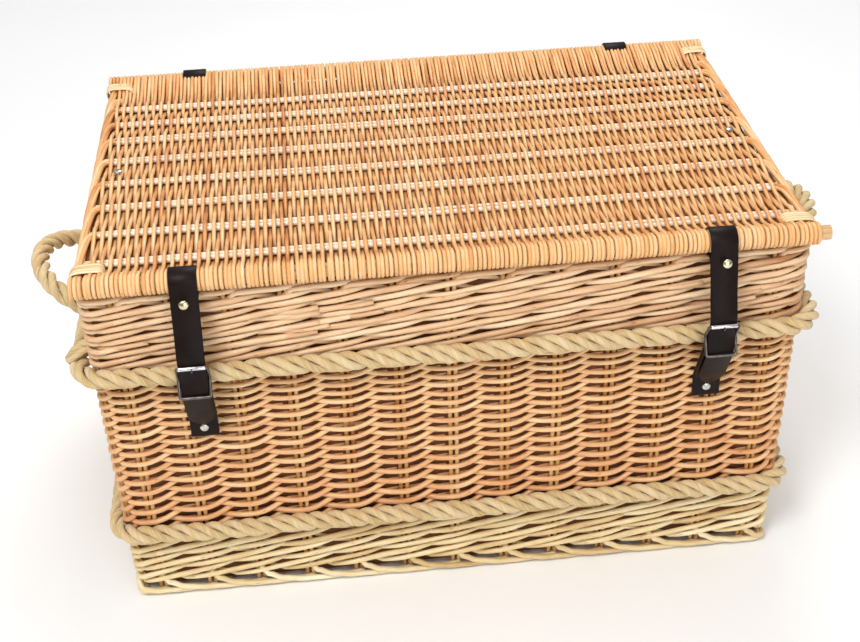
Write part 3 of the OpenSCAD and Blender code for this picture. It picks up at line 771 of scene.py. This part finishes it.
def build_lid_edges():
    for name, side in (("left", -1), ("right", 1)):
        ends = lid_border(side)
        tones = rng.normal(0.45, 0.15, len(ends))
        radii = np.linspace(2.6, 2.0, 34)[None]
        Shape().rods(ends, radii, tones, (0, 0, 1)).build(
            name + "_lid_border_rods", LID_WILLOW, "lid", "willow_buff", [name + "_lid_border"])

    shape = Shape()
    turn = np.linspace(0, 2 * np.pi, 41)
    cos, sin = np.cos(turn), np.sin(turn)
    flat = np.array([[0.55, -2.1], [0.55, 2.1], [-0.55, 2.1], [-0.55, -2.1]])
    for sx in (-1, 1):
        for sy in (-1, 1):
            for i in range(4):
                y = sy * (HINGE[0] - 14.5 - 3.9 * i)
                wide, tall = 16.0 - 0.8 * (i % 2), 8.1
                x = sx * (PANEL_X - 2) + wide * np.sign(cos) * np.abs(cos) ** 0.55
                z = HINGE_Z + tall * np.sign(sin) * np.abs(sin) ** 0.75
                slant = y + sy * 1.6 * cos * sx
                path = np.stack([x, slant, z], 1)
                shape.ribbon(path, flat, np.stack([cos, 0 * cos, sin], 1), tone=rng.normal(0.4, 0.15))
    shape.build("lid_corner_skeins", SKEIN_WILLOW, "lid", "willow_pale", ["lid_corner_bindings"])


# ---------------------------------------------------------------- ropes
def rope_loop(node, sink):
    """Centre line of a rope band, pulled into the weave by sink, and how long it is."""
    low, high = box(node)
    radius = (high[2] - low[2]) / 2 + sink
    line, _ = corners(high[0] - radius, high[1] - radius, 28.0, 12)
    line = np.concatenate([line, line[:1]])
    s = length_along(line)
    even = np.linspace(0, s[-1], 861)[:-1]
    xy = points_at(line, s, even)
    sag = 0.7 * np.sin(even / s[-1] * 2 * np.pi * 9) + 0.5 * np.sin(even / s[-1] * 2 * np.pi * 17)
    return np.concatenate([xy, (middle(node)[2] + sag)[:, None]], 1), s[-1]


def strands(core, refs, turns, closed=False, fat=1.0):
    """Three strands laid right-handed round a rope's centre line."""
    out, across = directions(core, refs, closed)
    share = np.arange(len(core)) / (len(core) if closed else len(core) - 1)
    paths, radial = [], []
    for i in range(3):
        phase = (2 * np.pi * (turns * share + i / 3))[:, None]
        way = np.cos(phase) * out + np.sin(phase) * across
        paths.append(core + ORBIT * fat * way)
        radial.append(way)
    return np.stack(paths), np.stack(radial)


def add_rope_tail(shape):
    """The band's cut end, which sticks out of the left wall just above it."""
    x, y, z = -HALF_X - 4.0, -HALF_Y + 24, WALE_Z + 18
    core = rounded_line([(x + 10, y, z + 4), (x, y, z), (x - 14, y - 3, z - 13)], 1.0, 3)
    paths, radial = strands(core, (0, 1, 0), 0.25, fat=0.62)
    radii = STRAND_R * np.interp(np.arange(len(core)), [0, 18, 28], [0.95, 0.9, 0.72])[None]
    shape.rods(paths, radii, [0.25, 0.4, 0.3], radial, sides=14)


def build_rope_bands():
    for node, sink in (("lower_rope", 4.0), ("upper_rope", 1.5)):
        core, length = rope_loop(node, sink)
        paths, radial = strands(core, (0, 0, 1), int(round(length / ROPE_LAY)), closed=True)
        radii = STRAND_R * (1 + 0.05 * np.sin(np.arange(paths.shape[1]) * 0.31))[None]
        shape = Shape().rods(paths, radii, [0.35, 0.6, 0.5], radial, sides=14, closed=True)
        if node == "upper_rope":
            add_rope_tail(shape)
        shape.build(node + "_strands", ROPE, "basket", "rope", [node])


def handle_line(side):
    """The handle rope's centre line: out through the wall, up round an arc, and back in."""
    pivot, reach, lift = HALF_X + 16, 60.0, math.radians(27)
    radius = (HANDLE_SPAN**2 / 4 + reach**2) / (2 * reach)
    half = math.asin(HANDLE_SPAN / 2 / radius)
    angle = np.linspace(-half, half, 40)
    out = reach - radius + radius * np.cos(angle)
    arc = np.stack([pivot + out * math.cos(lift), radius * np.sin(angle),
                    HANDLE_Z + out * math.sin(lift)], 1)
    ends = [np.array([[KNOT_X, y, HANDLE_Z], [pivot - 7, y, HANDLE_Z]])
            for y in (-HANDLE_SPAN / 2, HANDLE_SPAN / 2)]
    line = rounded_line(np.concatenate([ends[0], arc, ends[1][::-1]]), 2.0, 14)
    return line * (side, 1, 1)


def knot_line(centre):
    """A stopper knot: a small trefoil of rope."""
    t = np.linspace(0, 2 * np.pi, 91)[:-1]
    x = -np.sin(3 * t) * 3.6
    y = (np.sin(t) + 2 * np.sin(2 * t)) * 2.9
    z = (np.cos(t) - 2 * np.cos(2 * t)) * 2.9
    return np.stack([x, y, z], 1) + centre


def build_handles():
    for name, side in (("left", -1), ("right", 1)):
        line = handle_line(side)
        if side < 0:
            line = line[::-1]
        paths, radial = strands(line, (0, 0, 1), length_along(line)[-1] / ROPE_LAY)
        shape = Shape().rods(paths, STRAND_R, [0.35, 0.5, 0.6], radial, sides=14)
        rope = shape.build(name + "_handle_rope", ROPE, None, "rope", [name + "_handle"])
        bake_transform(rope)
        shape = Shape()
        for y in (-HANDLE_SPAN / 2, HANDLE_SPAN / 2):
            core = knot_line((side * KNOT_X, y, HANDLE_Z))
            paths, radial = strands(core, (1, 0, 0), 3, closed=True, fat=0.62)
            shape.rods(paths, 2.9, [0.4, 0.5, 0.6], radial, sides=10, closed=True)
        shape.build(name + "_handle_knots", ROPE, "basket", "rope", [name + "_handle_ends"])


# ---------------------------------------------------------------- leather
def strip_section(width, thick, groove=True):
    """A leather strip's section: rounded edges, and a stitch groove along each side of its face."""
    w, t = width / 2, thick / 2
    face = [(t - 0.5, -w), (t, -w + 0.7)]
    if groove:
        for s in (-1, 1):
            at = s * (w - 3)
            face += [(t, at - 0.9), (t - 0.35, at), (t, at + 0.9)]
    face += [(t, w - 0.7), (t - 0.5, w)]
    back = [(-t + 0.5, w), (-t, w - 0.7), (-t, -w + 0.7), (-t + 0.5, -w)]
    return np.array(face + back)


def in_plane(x, line):
    """A (y, z) line as points at one x."""
    line = np.asarray(line, float)
    return np.concatenate([np.full((len(line), 1), float(x)), line], 1)


def face_normals(path, flip):
    """Normals of a strip in the Y-Z plane, on the side that flip picks."""
    step = unit(np.gradient(path, axis=0))
    return flip * np.stack([0 * step[:, 0], -step[:, 2], step[:, 1]], 1)


def sew(name, body, path, normals, first, last):
    """Thread dashes in both grooves of a strap, between two lengths along it."""
    s = length_along(path)
    lift = STRAP_T / 2 + np.array([-0.5, -0.1, 0.0, -0.1, -0.5])
    dashes = []
    for start in np.arange(first, min(last, s[-1] - 2), 4.4):
        at = start + np.array([0, 0.5, 1.5, 2.5, 3.0])
        dash = points_at(path, s, at) + lift[:, None] * points_at(normals, s, at)
        for side in (-1, 1):
            dashes.append(dash + (side * (STRAP_W / 2 - 3), 0, 0))
    Shape().rods(dashes, 0.38, 0.5 + np.zeros(len(dashes)), (1, 0, 0), sides=5).build(
        name, THREAD, body, "dark_leather")


def arc(centre, radius, start, end, count):
    """Points of an arc in the Y-Z plane, angles in degrees from +Y towards +Z."""
    angle = np.radians(np.linspace(start, end, count))
    return [(centre[0] + radius * math.cos(a), centre[1] + radius * math.sin(a)) for a in angle]


def strap_line():
    """A closing strap's line: lap, round the front rod, down through the buckle to its tip."""
    rod = (-HINGE[0], HINGE_Z)
    lap = [(rod[0] - 17.8, 372), (rod[0] - 16.0, 380), (rod[0] - 12.8, 387)]
    hang = [(rod[0] - 17, 382), (rod[0] - 25, 352), (ROLLER[0] + 3.6, ROLLER[1] + 8),
            (ROLLER[0] + 3.4, ROLLER[1]), (CENTRE_BAR[0] - 5.4, CENTRE_BAR[1]),
            (LOW_BAR[0] + 3.1, LOW_BAR[1]), (LOW_BAR[0] + 9, LOW_BAR[1] - 12),
            (-HALF_Y - 12.5, 250), (-HALF_Y - 4.2, 236)]
    return lap + arc(rod, LOOP_R, 238, 540, 40) + hang


def build_closing_strap(side):
    x = STRAP_X[side]
    body = side + "_closing_strap"
    line = rounded_line(in_plane(x, strap_line()), 1.6, 4)
    normals = face_normals(line, 1)
    s = length_along(line)
    widths = np.interp(s[-1] - s, [0, 3, 8, 15, 24], [0.12, 0.42, 0.68, 0.89, 1.0])
    shape = Shape().ribbon(line, strip_section(STRAP_W, STRAP_T), normals, widths)
    shape.build(side + "_strap_leather", DARK_LEATHER, body, "dark_leather", [side + "_strap"])
    sew(side + "_strap_stitches", body, line, normals, 20, s[-1] - 25)

    hang = line[s > s[len(s) // 2]][::-1]
    rivet_y = np.interp(STRAP_RIVET, hang[:, 2], hang[:, 1]) - STRAP_T / 2 - 0.2
    out = (0, -math.cos(0.26), math.sin(0.26))
    shape = Shape().dome((x, rivet_y, STRAP_RIVET), out, 4.4, 2.3)
    shape.build(side + "_strap_rivet_dome", BRASS, body, "brass", [side + "_strap_rivet"])

    # Two dark discs on the tongue: painted shade standing for the dark inside the strap's holes.
    shape = Shape()
    for z in (345, 333):
        y = np.interp(z, hang[:, 2], hang[:, 1]) - 1.1
        shape.dome((x, y, z), (0, -1, 0.2), 1.5, 0.12, rim=0.05)
    shape.build(side + "_strap_hole_shade", THREAD, body, "dark_leather")


def chape_line():
    """A buckle strap's line: up the wall, round the centre bar, and down over itself."""
    wall = -HALF_Y + 4
    return ([(wall - 1.2, 216), (wall - 1.2, 243), (CENTRE_BAR[0] + 2.9, 292)]
            + arc(CENTRE_BAR, 3.0, -20, 190, 12)
            + [(CENTRE_BAR[0] - 1.6, 291), (wall - 3.4, 239), (wall - 3.4, 218.5)])


def build_chape(side):
    """The strap that holds the buckle, slotted for the prong where it goes round the bar."""
    line = rounded_line(in_plane(STRAP_X[side], chape_line()), 1.4, 3)
    normals = face_normals(line, -1)
    width, slot = STRAP_W + 1.5, 5.0
    half = (width - slot) / 2
    high = np.nonzero(line[:, 2] > CENTRE_BAR[1] - 11)[0]
    first, last = high[0], high[-1]
    shape = Shape()
    for part in (slice(0, first + 1), slice(last, None)):
        shape.ribbon(line[part], strip_section(width, CHAPE_T), normals[part])
    part = slice(first, last + 1)
    for s in (-1, 1):
        beside = line[part] + (s * (slot + half) / 2, 0, 0)
        shape.ribbon(beside, strip_section(half, CHAPE_T, groove=False), normals[part])
    shape.build(
        side + "_buckle_leather", DARK_LEATHER, "basket", "dark_leather", [side + "_buckle_strap"])


def build_buckle(side):
    x = STRAP_X[side]
    reach = STRAP_W / 2 + 1.6
    top, low = ROLLER, LOW_BAR
    bow = CENTRE_BAR - (3, 0)
    half = [(reach - 2, *top), (reach, *top), (reach, *bow), (reach, *low)]
    wire = [(-across, y, z) for across, y, z in half] + half[::-1]
    wire = rounded_line(np.array(wire) + (x, 0, 0), 1.0, 6)
    bar = rounded_line([(x - reach, *CENTRE_BAR), (x + reach, *CENTRE_BAR)], 2.0)
    core = rounded_line([(x - reach, *top), (x + reach, *top)], 2.0)
    shape = Shape().rods([wire], 1.55, [0.5], (0.3, 0.8, 0.5), sides=12)
    shape.rods([bar], 1.7, [0.5], (0, 0, 1), sides=12)
    shape.rods([core], 1.2, [0.5], (0, 0, 1), sides=12)
    shape.build(side + "_buckle_wire", WIRE, "basket", "steel", [side + "_buckle_frame"])

    ends = [-reach + 1.7, -reach + 2.0, -reach + 2.6, 0, reach - 2.6, reach - 2.0, reach - 1.7]
    path = np.array([(x + e, *top) for e in ends])
    radii = np.array([1.6, 1.95, 2.15, 2.15, 2.15, 1.95, 1.6])[None]
    Shape().rods([path], radii, [0.5], (0, 0, 1), sides=28).build(
        side + "_roller_tube", CHROME, side + "_roller", "steel", [side + "_buckle_roller"])

    prong = [(CENTRE_BAR[0] + 2.4, CENTRE_BAR[1] - 1.5)] + arc(CENTRE_BAR, 2.9, -20, 150, 8)
    prong += [(ROLLER[0] + 4, ROLLER[1] - 6.5), (ROLLER[0] - 1.6, ROLLER[1] - 3.6),
              (ROLLER[0] - 3.4, ROLLER[1] + 0.5)]
    path = rounded_line(in_plane(x, prong), 0.9, 2)
    radii = np.interp(np.linspace(0, 1, len(path)), [0, 0.85, 1], [1.15, 1.05, 0.6])[None]
    Shape().rods([path], radii, [0.5], (1, 0, 0), sides=10).build(
        side + "_prong_wire", WIRE, side + "_prong", "steel", [side + "_buckle_prong"])


def build_hinge_strap(side):
    x = HINGE_X[side]
    wall = HALF_Y - WALL
    line = ([(HALF_Y + 1.8, 338), (HALF_Y + 1.8, 374), (HALF_Y + 10.6, 392)]
            + arc((HINGE[0], HINGE_Z), LOOP_R, 10, 170, 20)
            + [(wall - 0.6, 391), (wall - 1.6, 384), (wall - 1.6, 338)])
    line = rounded_line(in_plane(x, line), 1.6, 4)
    normals = face_normals(line, 1)
    shape = Shape().ribbon(line, strip_section(STRAP_W, STRAP_T), normals)
    shape.build(side + "_hinge_leather", DARK_LEATHER, "basket", "dark_leather", [side + "_hinge_strap"])
    sew(side + "_hinge_stitches", "basket", line, normals, 4, length_along(line)[-1] - 4)


def rivet_heads(name, body, node, heads):
    """One piece of rivet domes, each given by its centre, the way it faces and its height."""
    shape = Shape()
    for centre, out, height in heads:
        shape.dome(centre, out, RIVET_R, height)
    shape.build(name, NICKEL, body, "steel", [node])


def build_rivets():
    heads = []
    for x in STRAP_X.values():
        heads += [((x, -HALF_Y - 0.4, CHAPE_RIVET), (0, -1, 0), 2.0),
                  ((x, -HALF_Y + WALL + 6, CHAPE_RIVET), (0, 1, 0), 1.6)]
    rivet_heads("buckle_strap_domes", "basket", "buckle_strap_rivets", heads)

    low, high = box("hinge_rivets")
    z = middle("hinge_rivets")[2]
    heads = []
    for x in HINGE_X.values():
        heads += [((x, high[1] - RIVET_SINK, z), (0, 1, 0), 1.8),
                  ((x, low[1] + RIVET_SINK, z), (0, -1, 0), 1.8)]
    rivet_heads("hinge_domes", "basket", "hinge_rivets", heads)

    low, high = box("stay_lid_rivets")
    y = middle("stay_lid_rivets")[1]
    heads = []
    for x in (low[0] + RIVET_R, high[0] - RIVET_R):
        heads += [((x, y, high[2] - RIVET_SINK), (0, 0, 1), 1.8),
                  ((x, y, low[2] + RIVET_SINK), (0, 0, -1), 1.8)]
    rivet_heads("stay_lid_domes", "lid", "stay_lid_rivets", heads)

    reach = box("stay_wall_rivets")[1][0] - RIVET_SINK
    _, y, z = middle("stay_wall_rivets")
    heads = []
    for s in (-1, 1):
        heads += [((s * reach, y, z), (s, 0, 0), 1.8),
                  ((s * (HALF_X - WALL - 2), y, z), (-s, 0, 0), 1.8)]
    rivet_heads("stay_wall_domes", "basket", "stay_wall_rivets", heads)


# ---------------------------------------------------------------- stays
def slack_line(anchor, fold, sag):
    """The loose part of a stay: it hangs in an even bow between the wall and the fold."""
    share = np.linspace(0, 1, 27)[:, None]
    line = np.array(anchor) + share * np.subtract(fold, anchor)
    drop = unit(np.array([anchor[1] - fold[1], fold[0] - anchor[0]]))
    return line - sag * 4 * share * (1 - share) * drop


def build_stay(name, side):
    anchor, fold, lid_end = (60.0, 362.0), (158.0, 304.0), (-8.0, HINGE_Z - 8.0)
    x = side * STAY_X
    under = [(lid_end[0] - 40, lid_end[1]), (lid_end[0] + 12, lid_end[1]), fold]
    line = rounded_line(in_plane(x, under), 3.0, 5)
    shape = Shape().ribbon(line, strip_section(STAY_W, STAY_T), face_normals(line, 1))
    shape.build(name + "_stay_leather", STAY_LEATHER_BLUE_REFLECTION, "lid", "stay_leather", [name + "_stay"])

    free = slack_line(anchor, fold, 38.0)
    share = np.linspace(0, 1, len(free))
    xs = side * np.interp(share, [0, 0.45, 1], [HALF_X - WALL - 1.2, STAY_X + 3, STAY_X])
    path = np.concatenate([xs[:, None], free], 1)
    flat = face_normals(path, 1)
    turn = smooth(1 - share / 0.5)[:, None]
    refs = unit(flat * (1 - turn) + np.array([-side, 0, 0]) * turn)
    shape = Shape().ribbon(path, strip_section(STAY_W, STAY_T), refs)
    piece = shape.build(name + "_stay_slack", STAY_LEATHER_BLUE_REFLECTION, None, "stay_leather")
    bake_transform(piece)

    low, high = box(name + "_stay_anchor")
    y = middle(name + "_stay_anchor")[1]
    at = side * (HALF_X - WALL - 1)
    line = rounded_line([(at, y, low[2]), (at, y, high[2])], 3.0)
    Shape().ribbon(line, strip_section(STAY_W, STAY_T), (-side, 0, 0)).build(
        name + "_stay_anchor_leather", STAY_LEATHER_BLUE_REFLECTION, "basket", "stay_leather", [name + "_stay_anchor"])


# ---------------------------------------------------------------- the CAD pieces that stay
def paint_cad(node, material):
    """Gives a CAD node that is still shown its finish."""
    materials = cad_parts[node].data.materials
    if len(materials) == 0:
        materials.append(material)
    for place in range(len(materials)):
        materials[place] = material


# ---------------------------------------------------------------- stage
def build_stage():
    paint = Paint("pale_floor")
    place = paint.place()
    cloud = paint.noise(place, 1.5, 3.0)
    paint.set(Base_Color=paint.ramp(cloud, [(0.2, "f4f4f4"), (0.8, "fafafa")]), Roughness=0.9)
    mesh = bpy.data.meshes.new("floor")
    size = 12.0
    square = [(x * size, y * size, 0) for x, y in ((-1, -1), (1, -1), (1, 1), (-1, 1))]
    mesh.from_pydata(square, [], [(0, 1, 2, 3)])
    mesh.materials.append(paint.material)
    floor = bpy.data.objects.new("floor", mesh)
    floor.location.z = -0.0005
    bpy.context.scene.collection.objects.link(floor)


def soft_light(name, place, target, size, power):
    data = bpy.data.lights.new(name, "AREA")
    data.shape = "DISK"
    data.size = size
    data.energy = power
    lamp = bpy.data.objects.new(name, data)
    lamp.location = place
    lamp.rotation_euler = (Vector(target) - Vector(place)).to_track_quat("-Z", "Y").to_euler()
    bpy.context.scene.collection.objects.link(lamp)


def build_light():
    world = bpy.data.worlds.new("studio")
    bpy.context.scene.world = world
    world.use_nodes = True
    nodes, links = world.node_tree.nodes, world.node_tree.links
    place = nodes.new("ShaderNodeTexCoord")
    split = nodes.new("ShaderNodeSeparateXYZ")
    sky = nodes.new("ShaderNodeValToRGB")
    links.new(place.outputs["Generated"], split.inputs[0])
    links.new(split.outputs[2], sky.inputs[0])
    for stop, level in zip(sky.color_ramp.elements, (0.22, 1.0)):
        stop.color = (level, level, level, 1)
    links.new(sky.outputs[0], nodes["Background"].inputs[0])
    nodes["Background"].inputs[1].default_value = 0.8
    soft_light("key", (-0.9, -1.5, 2.4), (0, 0, 0.2), 1.0, 38)
    soft_light("front", (0.5, -2.2, 0.9), (0, 0, 0.2), 1.4, 12)
    soft_light("back", (0.3, 1.3, 2.2), (0, 0, 0.3), 1.0, 21)
    bpy.context.scene.view_settings.view_transform = "Standard"


def build_camera():
    yaw, pitch, roll = 0.0837, 0.5947, -0.0308
    place = (-0.1152, -1.3397, 1.0931)
    flat = math.cos(pitch)
    ahead = Vector((math.sin(yaw) * flat, math.cos(yaw) * flat, -math.sin(pitch)))
    level = Vector((math.cos(yaw), -math.sin(yaw), 0))
    tall = level.cross(ahead)
    right = level * math.cos(roll) + tall * math.sin(roll)
    up = tall * math.cos(roll) - level * math.sin(roll)
    data = bpy.data.cameras.new("camera")
    data.lens = 59.55
    data.clip_end = 50
    camera = bpy.data.objects.new("camera", data)
    turn = Matrix((right, up, -ahead)).transposed()
    camera.matrix_world = Matrix.Translation(place) @ turn.to_4x4()
    bpy.context.scene.collection.objects.link(camera)
    bpy.context.scene.camera = camera


build_camera()
build_light()
build_stage()
build_walls()
build_base()
build_shadow_sheets()
build_lid_weave()
build_lid_edges()
build_rope_bands()
build_handles()
for side in ("left", "right"):
    build_closing_strap(side)
    build_chape(side)
    build_buckle(side)
    build_hinge_strap(side)
build_rivets()
build_stay("left", -1)
build_stay("right", 1)
paint_cad("lid_front_rod", BARE_WOOD)
paint_cad("lid_rear_rod", BARE_WOOD)
paint_cad("buckle_strap_washers", DARK_LEATHER)
